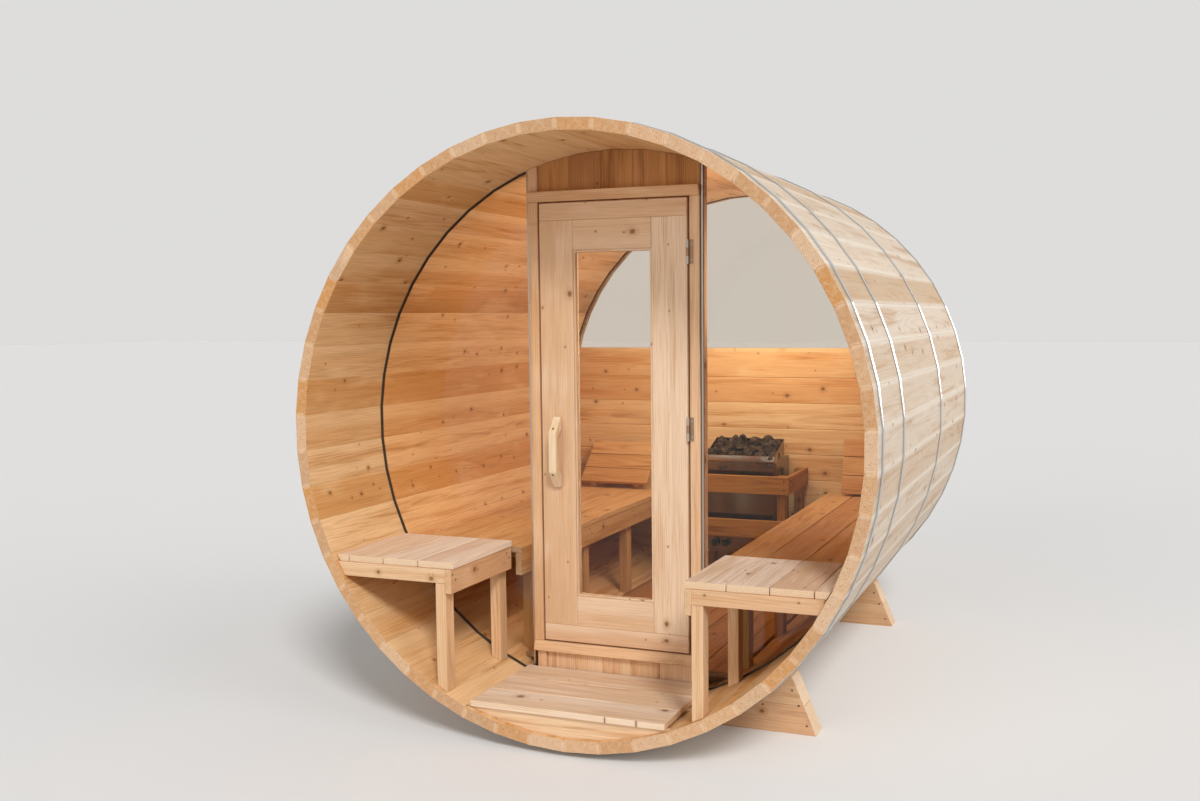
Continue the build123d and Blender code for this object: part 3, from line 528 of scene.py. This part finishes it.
def new_piece(name, points, face_sets, material, body, smooth=True):
    """A piece of the visual model from its points and its sets of faces, riding on a body."""
    corners = np.concatenate([faces.ravel() for faces in face_sets])
    sizes = np.concatenate([np.full(len(faces), faces.shape[1]) for faces in face_sets])
    mesh = bpy.data.meshes.new(name)
    mesh.vertices.add(len(points))
    mesh.vertices.foreach_set("co", points.astype(np.float32).ravel())
    mesh.loops.add(len(corners))
    mesh.loops.foreach_set("vertex_index", corners.astype(np.int32))
    mesh.polygons.add(len(sizes))
    mesh.polygons.foreach_set("loop_start", (np.cumsum(sizes) - sizes).astype(np.int32))
    mesh.polygons.foreach_set("use_smooth", np.full(len(sizes), smooth))
    mesh.update(calc_edges=True)
    mesh.materials.append(material)
    made = bpy.data.objects.new(name, mesh)
    bpy.context.collection.objects.link(made)
    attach(made, body)
    return made


def tube_faces(rings, around):
    """The faces between the neighbouring rings of a tube, each ring a closed round of that many points."""
    ring, corner = np.meshgrid(np.arange(rings - 1), np.arange(around), indexing="ij")
    here = ring * around + corner
    after = ring * around + (corner + 1) % around
    return np.stack([here, after, after + around, here + around], axis=-1).reshape(-1, 4)


def screw_heads(name, screws, radius, material, body):
    """Countersunk screw heads, one piece: each is a low dome round a sunk square drive.

    screws gives each one's place and the way it faces. A head is a profile of (distance from its middle,
    height over the wood) spun round its axis and closed by a cap at both ends. The two inmost rings are the
    drive, where the round is pulled towards a square by dividing by the larger of |cos| and |sin|.
    """
    places, facings = np.array(screws, float).transpose(1, 0, 2)
    facings /= np.linalg.norm(facings, axis=1, keepdims=True)
    profile = np.array([(0.30, -0.30), (0.34, 0.10), (0.70, 0.10), (0.93, 0.03), (1.0, -0.06), (1.0, -0.30)])
    squareness = np.array([0.8, 0.8, 0.0, 0.0, 0.0, 0.0])[:, None]
    rings, around = len(profile), 12
    spin = np.arange(around) * 2 * math.pi / around
    square = 1 / np.maximum(np.abs(np.cos(spin)), np.abs(np.sin(spin)))
    out = profile[:, :1] * (1 + squareness * (square - 1)) * radius
    up = np.repeat(profile[:, 1:] * radius, around, axis=1)
    # The axes across a head come from a direction that is never along the way it faces
    helper = np.where(np.abs(facings[:, 2:]) > 0.9, [[1.0, 0.0, 0.0]], [[0.0, 0.0, 1.0]])
    side = np.cross(helper, facings)
    side /= np.linalg.norm(side, axis=1, keepdims=True)
    other = np.cross(facings, side)
    points = (
        places[:, None, None]
        + (out * np.cos(spin))[None, :, :, None] * side[:, None, None]
        + (out * np.sin(spin))[None, :, :, None] * other[:, None, None]
        + up[None, :, :, None] * facings[:, None, None]
    )
    first = np.arange(len(places))[:, None] * rings * around
    walls = first[:, :, None] + tube_faces(rings, around)[:, [0, 3, 2, 1]]
    drives = first + np.arange(around)
    backs = first + (rings - 1) * around + np.arange(around)[::-1]
    face_sets = [walls.reshape(-1, 4), drives, backs]
    new_piece(name, points.reshape(-1, 3), face_sets, material, body)


def ball_grid(grid):
    """The directions from a cube's six gridded sides pushed out to a ball, and the faces between them."""
    steps = np.linspace(-1, 1, grid)
    first, second = (axis.ravel() for axis in np.meshgrid(steps, steps, indexing="ij"))
    one = np.ones_like(first)
    sides = np.concatenate([np.stack(side, axis=1) for side in (
        (first, second, one), (second, first, -one), (second, one, first),
        (first, -one, second), (one, first, second), (-one, second, first),
    )])
    cube, merged = np.unique(np.round(sides, 6), axis=0, return_inverse=True)
    side, row, column = np.meshgrid(np.arange(6), np.arange(grid - 1), np.arange(grid - 1), indexing="ij")
    corner = side * grid * grid + row * grid + column
    quads = np.stack([corner, corner + grid, corner + grid + 1, corner + 1], axis=-1).reshape(-1, 4)
    return cube / np.linalg.norm(cube, axis=1, keepdims=True), merged.reshape(-1)[quads]


def stone_heap(name, material):
    """Broken stones heaped in the heater's tray, standing for the plain CAD blocks.

    Along each direction of a ball, a stone reaches as far as the nearest of some random planes round its
    middle, with the corners a little worn: 1 / (sum of the closeness to each plane, to the power wear) **
    (1 / wear), where closeness is 1 over the distance to the plane that way. It is then stretched by its own
    amounts.
    """
    random = np.random.default_rng(5)
    low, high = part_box("heater_stones")
    ways, quads = ball_grid(8)
    front_top, rise_to_back = 0.812, 0.070
    width_used, depth_used = (0.08, 0.92), (0.12, 0.92)
    plane_count, nearest, farthest = 9, 0.011, 0.030
    wear, longest = 24, 0.031
    least_stretch, most_stretch = (0.85, 0.85, 0.65), (1.25, 1.25, 1.0)

    # Each layer of stones has its columns, its rows and its depth under the heap's top
    layers = []
    for columns, rows, sink in ((6, 3, 0.066), (6, 4, 0.034), (6, 4, 0.010)):
        across, back = np.meshgrid(np.linspace(*width_used, columns), np.linspace(*depth_used, rows))
        layers.append(np.stack([across.ravel(), back.ravel(), np.full(across.size, sink)], axis=1))
    spots = np.concatenate(layers)
    count = len(spots)
    spots[:, :2] += random.uniform(-0.04, 0.04, (count, 2))
    middle = np.stack([
        low.x + (high.x - low.x) * spots[:, 0],
        low.y + (high.y - low.y) * spots[:, 1],
        front_top + rise_to_back * spots[:, 1] - spots[:, 2] + random.uniform(-0.007, 0.011, count),
    ], axis=1)
    planes = random.normal(size=(count, plane_count, 3))
    planes /= np.linalg.norm(planes, axis=2, keepdims=True)
    away = random.uniform(nearest, farthest, (count, plane_count))
    closeness = np.clip(np.einsum("nk,spk->snp", ways, planes) / away[:, None], 0, None)
    reach = np.minimum(1 / (closeness ** wear).sum(axis=2) ** (1 / wear), longest)
    stretch = random.uniform(least_stretch, most_stretch, (count, 3))[:, None]
    points = middle[:, None] + reach[..., None] * ways * stretch
    faces = (quads[None] + (np.arange(count) * len(ways))[:, None, None]).reshape(-1, 4)
    heap = new_piece(name, points.reshape(-1, 3), [faces], material, "building", smooth=False)
    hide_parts("heater_stones")


def heater_rim(name, material):
    """The polished edging round the front of the heater's tray.

    Its section is a closed strip of (distance out from the flange, height), carried along the flange's left
    side, front and right side, with each corner turned on a quarter circle.
    """
    low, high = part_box("heater_body")
    radius = 0.004
    side_end = low.y + 0.026
    turn = np.linspace(0, math.pi / 2, 7)
    out_left = -np.stack([np.cos(turn), np.sin(turn)], axis=1)
    out_right = np.stack([np.sin(turn), -np.cos(turn)], axis=1)
    path = np.concatenate([
        [(low.x, side_end)],
        np.array([low.x + radius, low.y + radius]) + radius * out_left,
        np.array([high.x - radius, low.y + radius]) + radius * out_right,
        [(high.x, side_end)],
    ])
    outward = np.concatenate([[(-1.0, 0.0)], out_left, out_right, [(1.0, 0.0)]])
    foot, top, sunk = 0.7800, 0.8105, -0.002
    section = np.array([
        (sunk, top), (0.0012, top), (0.0028, top - 0.0015), (0.0032, top - 0.0045),
        (0.0032, foot + 0.0050), (0.0028, foot + 0.0015), (0.0012, foot), (sunk, foot),
    ])
    flat = path[:, None] + outward[:, None] * section[None, :, :1]
    points = np.concatenate([flat, np.broadcast_to(section[None, :, 1:], flat.shape[:2] + (1,))], axis=2)
    steps, around = len(path), len(section)
    caps = np.stack([np.arange(around)[::-1], (steps - 1) * around + np.arange(around)])
    face_sets = [tube_faces(steps, around), caps]
    rim = new_piece(name, points.reshape(-1, 3), face_sets, material, "building")
    rim.data.set_sharp_from_angle(angle=math.radians(35))


# Woods, each with the nodes that are made of it
SECTORS = ["staves_sector_%02d" % (index + 1) for index in range(10)]
woods = (
    (SECTORS, cedar(
        "planed_cedar_staves", "#edc594", "#cf9455", "#8f5d28", "#c99f78",
        knots=STAVE_KNOTS, figure=0.75, outside="#dccdbb", rough=0.7, gloss=0.15,
    )),
    # Header, cabin floor and bearers: a darker tone, partly the heartwood's own and partly painted shade
    (["boards_above_door", "cabin_floor", "floor_bearers"], cedar(
        "heartwood_cedar_painted_shade", "#c88d53", "#a16935", "#704722", "#a8774a",
    )),
    # The rear wall is paler than the cabin's other cedar: painted light on the lit wall
    (["rear_wall_boards"], cedar(
        "planed_cedar_rear_wall_painted_light", "#f3d5a2", "#dba565", "#9c6b36", "#c99d72", knots=MANY_KNOTS,
    )),
    (["door_posts", "door_frame_trims", "boards_below_door"], cedar(
        "planed_cedar_frame", "#e8c39c", "#cf9b6a", "#946641", "#cfa680",
    )),
    # The cabin's benches and backrests get a deeper amber: painted shade of the dusky room behind the glass
    ([
        "cabin_bench_left", "cabin_bench_right", "cabin_bench_frame_left", "cabin_bench_frame_right",
        "cabin_backrests",
    ], cedar("sanded_cedar_cabin_painted_shade", "#e4bb84", "#c99458", "#8f6131", "#c9a06e")),
    # The heater's guard is darker and deeper in colour: painted shade on its front
    (["heater_guard"], cedar(
        "sanded_cedar_guard_painted_shade", "#b9853f", "#9a6a28", "#6b4518", "#a1763f", knots=MANY_KNOTS,
    )),
    # The porch's bench tops and deck are paler than their frames: painted light falling from above
    (["porch_bench_left", "porch_bench_right", "porch_deck"], cedar(
        "sanded_cedar_porch_painted_light", "#f3e0cc", "#e2c09c", "#a97e57", "#e3c5a2",
    )),
    (["porch_bench_frame_left", "porch_bench_frame_right", "porch_fascia"], cedar(
        "sanded_cedar_bench_frames", "#e8c6a0", "#d3a273", "#a07548", "#d8b48c",
    )),
    (["door_leaf", "door_beads"], cedar(
        "sanded_cedar_door", "#e8cbad", "#d5a97f", "#a3784f", "#d8b48c", knots=FEW_KNOTS, figure=0.7,
    )),
    # The cradles' sawn ends are paler than their faces: painted light, as on an end lit from the side
    (["cradle_front", "cradle_rear"], cedar(
        "sawn_cedar_cradles", "#deb78f", "#ca9a70", "#96683f", "#ecd2b2", rough=0.72,
    )),
    (["door_handle"], cedar(
        "sanded_birch_handle", "#f1e0c0", "#e6c99c", "#b98f5c", "#e3c79c", knots=NO_KNOTS,
    )),
)
for names, material in woods:
    dress(names, material)

# Metals, glass, rubber, plastic and stone
stone = split_stone("olivine_stone")
hinge_steel = brushed_steel("stainless_hinge", "#c9c7c4", 0.32)
panes = ["front_glass_left", "front_glass_right", "rear_glass", "door_glass"]
dress(panes, bronze_glass("bronze_tempered_glass"))
dress(["steel_bands"], brushed_steel("stainless_band", "#c6cacd", 0.22))
dress(["door_hinge_leaves"], hinge_steel)
# The post's hinge leaves get a warm wood-toned colour: a painted reflection of the wood round them
dress(["post_hinge_leaves"], brushed_steel("hinge_leaf_painted_wood_reflection", "#b39579", 0.45))
dress(["glass_channels"], brushed_steel("anodised_channel", "#c4b8ac", 0.3))
# The heater's steel gets a dark warm brown base colour: a painted reflection of the wood round it
dress(["heater_body"], brushed_steel("polished_heater_steel_painted_reflection", "#857662", 0.12, lay=(1.0, 1.0, 0.05)))
dress(["glass_gaskets"], dark_finish("epdm_gasket", "#463b33", 0.6, 2.0))
dress(["heater_knobs"], dark_finish("moulded_knob", "#161616", 0.45, 1.0))
dress(["heater_stones"], stone)

# Nodes whose boards all run along one axis, whatever their longest side: 0 is X and 2 is Z
LENGTHWISE = {
    "door_posts": 2, "boards_above_door": 2, "boards_below_door": 2, "door_frame_trims": 0, "door_handle": 2,
}
STAVE_ARRIS = 0.0008
BOARD_ARRIS = 0.002
HANDLE_ROUNDING = 0.006
BAND_ROUNDING = 0.0022
wooden = sorted(name for names, material in woods for name in names)
for seed, name in enumerate(wooden):
    board_coordinates(nodes[name], seed, along=LENGTHWISE.get(name), round_barrel=name in SECTORS)
    if name == "door_handle":
        ease_edges(nodes[name], HANDLE_ROUNDING, segments=4)
    else:
        ease_edges(nodes[name], STAVE_ARRIS if name in SECTORS else BOARD_ARRIS)
ease_edges(nodes["steel_bands"], BAND_ROUNDING, segments=3)

stone_heap("heater_stone_heap", stone)
heater_rim("heater_tray_rim", brushed_steel("bright_rim_steel", "#b9b2a8", 0.16))

# Screws: black coated heads in the wood, bright ones in the hinges. Each has its place and the way it faces.
# CRADLE_SCREWS are (X, Z) on a cradle's faces. A bench apron has a pair at each leg's station along the
# barrel, as (shift along it, drop under its top), and a rail of the heater's guard has pairs at its ends, as
# drops.
WOOD_SCREW_RADIUS = 0.0042
HANDLE_SCREW_RADIUS = 0.0048
HINGE_SCREW_RADIUS = 0.0032
CRADLE_SCREWS = ((0.668, 0.158), (0.692, 0.104), (0.722, 0.034), (0.45, 0.040), (0.56, 0.096))
BENCH_LEGS = (
    ("porch_bench_frame_right", (-1.130, -0.735)),
    ("cabin_bench_frame_right", (-0.510, -0.015, 0.480, 0.975)),
)
APRON_PAIR = ((-0.010, 0.018), (0.010, 0.040))
GUARD_RAIL_DROPS = (0.0, 0.214)
GUARD_PAIR = (0.022, 0.064)
GUARD_CORNER_INSET = 0.022
GUARD_SIDE_STATIONS = (0.745, 1.072)
coating = dark_finish("phosphate_screw_coating", "#2a1c12", 0.6, 0.8)
guard_low, guard_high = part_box("heater_guard")
guard_middle = (guard_low.x + guard_high.x) / 2
guard_half = guard_high.x - guard_middle
wood_screws = []
for side in (-1, 1):
    for cradle in ("cradle_front", "cradle_rear"):
        low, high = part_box(cradle)
        for y, way in ((low.y, -1), (high.y, 1)):
            wood_screws += [((side * x, y, z), (0, way, 0)) for x, z in CRADLE_SCREWS]
    for bench_frame, stations in BENCH_LEGS:
        low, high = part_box(bench_frame)
        for y in stations:
            for shift, drop in APRON_PAIR:
                wood_screws.append(((side * low.x, y + shift, high.z - drop), (-side, 0, 0)))
    for rail_drop in GUARD_RAIL_DROPS:
        for drop in GUARD_PAIR:
            z = guard_high.z - rail_drop - drop
            x = guard_middle + side * (guard_half - GUARD_CORNER_INSET)
            wood_screws.append(((x, guard_low.y, z), (0, -1, 0)))
            for y in GUARD_SIDE_STATIONS:
                wood_screws.append(((guard_middle + side * guard_half, y, z), (side, 0, 0)))
screw_heads("frame_screws", wood_screws, WOOD_SCREW_RADIUS, coating, "building")

HANDLE_SCREWS = (
    ((-0.224, -0.7501, 1.076), (0, -0.806, 0.592)),
    ((-0.224, -0.7567, 0.903), (0, -0.806, -0.592)),
)
screw_heads("handle_screws", HANDLE_SCREWS, HANDLE_SCREW_RADIUS, coating, "door")

HINGE_LENGTH = 0.085
HINGE_SCREW_SHIFT = 0.028
PLATE_MIDDLE = 0.3065
PLATE_FACE = -0.7073
low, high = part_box("post_hinge_leaves")
hinge_screws = []
for height in (low.z + HINGE_LENGTH / 2, (low.z + high.z) / 2, high.z - HINGE_LENGTH / 2):
    for shift in (-HINGE_SCREW_SHIFT, HINGE_SCREW_SHIFT):
        hinge_screws.append(((PLATE_MIDDLE, PLATE_FACE, height + shift), (0, -1, 0)))
screw_heads("hinge_screws", hinge_screws, HINGE_SCREW_RADIUS, hinge_steel, "building")

# Studio: a wide pale floor under a plain pale surround
FLOOR_SIZE = 120.0
corners = np.array([[-1, -1, 0], [1, -1, 0], [1, 1, 0], [-1, 1, 0]]) * FLOOR_SIZE / 2
floor_mesh = bpy.data.meshes.new("studio_floor")
floor_mesh.from_pydata(corners.tolist(), [], [(0, 1, 2, 3)])
studio_floor = bpy.data.objects.new("studio_floor", floor_mesh)
bpy.context.collection.objects.link(studio_floor)
floor_paint, floor_tree = new_material("matt_floor_paint")
floor_shader = add(floor_tree, "BsdfDiffuse", {"Color": linear("#e9e8e7"), "Roughness": 0.0})
add(floor_tree, "OutputMaterial", {0: floor_shader})
floor_mesh.materials.append(floor_paint)

# The surround lights the object with its first strength, and is seen and mirrored with its second
SURROUND_STRENGTHS = (0.36, 0.74)
world = bpy.data.worlds.new("pale_surround")
bpy.context.scene.world = world
world.use_nodes = True
sky = world.node_tree
sky.nodes.clear()
rays = add(sky, "LightPath").outputs
seen = add(sky, "Math", {0: rays["Is Camera Ray"], 1: rays["Is Transmission Ray"]}, operation="MAXIMUM")
seen = add(sky, "Math", {0: seen, 1: rays["Is Glossy Ray"]}, operation="MAXIMUM")
strength = add(sky, "MapRange", {0: seen, 3: SURROUND_STRENGTHS[0], 4: SURROUND_STRENGTHS[1]})
surround = add(sky, "Background", {"Color": linear("#fdfcfb"), "Strength": strength})
add(sky, "OutputWorld", {0: surround})


def placed(place, x_axis, y_axis, z_axis):
    """The matrix that puts an object at a place, with its own axes turned to the three given ones."""
    columns = [np.append(axis, 0.0) for axis in (x_axis, y_axis, z_axis)]
    return Matrix(np.stack(columns + [np.append(place, 1.0)], axis=1).tolist())


def lamp(name, kind, place, away, strength):
    """A light at a place that shines away from the given direction, unseen through the glass."""
    away = np.array(away) / np.linalg.norm(away)
    side = np.cross([0.0, 0.0, 1.0], away)
    side /= np.linalg.norm(side)
    data = bpy.data.lights.new(name, kind)
    data.energy = strength
    made = bpy.data.objects.new(name, data)
    bpy.context.collection.objects.link(made)
    made.visible_transmission = False
    made.matrix_world = placed(place, side, np.cross(away, side), away)
    return made


# Soft parallel lights: the direction each comes from, its strength, its spread in degrees, and whether it is
# seen in reflections
for name, away, strength, spread, is_mirrored in (
    ("key_light", (0.45, -0.62, 0.66), 1.92, 14.0, True),
    ("side_light", (0.90, -0.10, 0.50), 0.7, 50.0, True),
    ("rim_light", (0.19, 0.975, 0.05), 0.3, 12.0, True),
    ("front_light", (-0.34, -0.92, 0.18), 0.85, 40.0, False),
):
    sun = lamp(name, "SUN", (0.0, 0.0, 0.0), away, strength)
    sun.data.angle = math.radians(spread)
    sun.visible_glossy = is_mirrored

# Hidden soft lamps inside the cabin, which stand for the daylight that falls in: place, direction, watts
LAMP_WIDTH, LAMP_HEIGHT = 0.9, 0.4
for name, place, away, watts in (
    ("cabin_light_rear", (0.2, 0.45, 1.75), (0.0, -0.75, 0.65), 8.5),
    ("cabin_light_left", (0.45, -0.1, 1.6), (1.0, -0.1, 0.05), 9.5),
):
    cabin_lamp = lamp(name, "AREA", place, away, watts)
    cabin_lamp.data.shape = "RECTANGLE"
    cabin_lamp.data.size = LAMP_WIDTH
    cabin_lamp.data.size_y = LAMP_HEIGHT
    cabin_lamp.data.color = linear("#fff6ea")[:3]
    cabin_lamp.visible_camera = False
    cabin_lamp.visible_glossy = False

# Camera at the photograph's place: turned 21 degrees and tipped 5 degrees down. Its focal length and the
# shift of its middle are in pixels of the photograph.
PHOTO_WIDTH = 1200
SENSOR_WIDTH = 36.0
FOCAL_LENGTH = 1175.2
SHIFT_X, SHIFT_Y = -55.0, 19.5
EYE = (1.6851, -4.6578, 1.4878)
yaw, pitch, roll = 0.3674, 0.0880, -0.0072
ahead = np.array([-math.sin(yaw) * math.cos(pitch), math.cos(yaw) * math.cos(pitch), -math.sin(pitch)])
level = np.array([math.cos(yaw), math.sin(yaw), 0.0])
upright = np.cross(level, ahead)
right = math.cos(roll) * level + math.sin(roll) * upright
above = math.cos(roll) * upright - math.sin(roll) * level
camera_data = bpy.data.cameras.new("camera")
camera_data.sensor_width = SENSOR_WIDTH
camera_data.lens = FOCAL_LENGTH / PHOTO_WIDTH * SENSOR_WIDTH
camera_data.shift_x = SHIFT_X / PHOTO_WIDTH
camera_data.shift_y = SHIFT_Y / PHOTO_WIDTH
camera = bpy.data.objects.new("camera", camera_data)
bpy.context.collection.objects.link(camera)
camera.matrix_world = placed(EYE, right, above, -ahead)
bpy.context.scene.camera = camera
bpy.context.scene.view_settings.view_transform = "Standard"
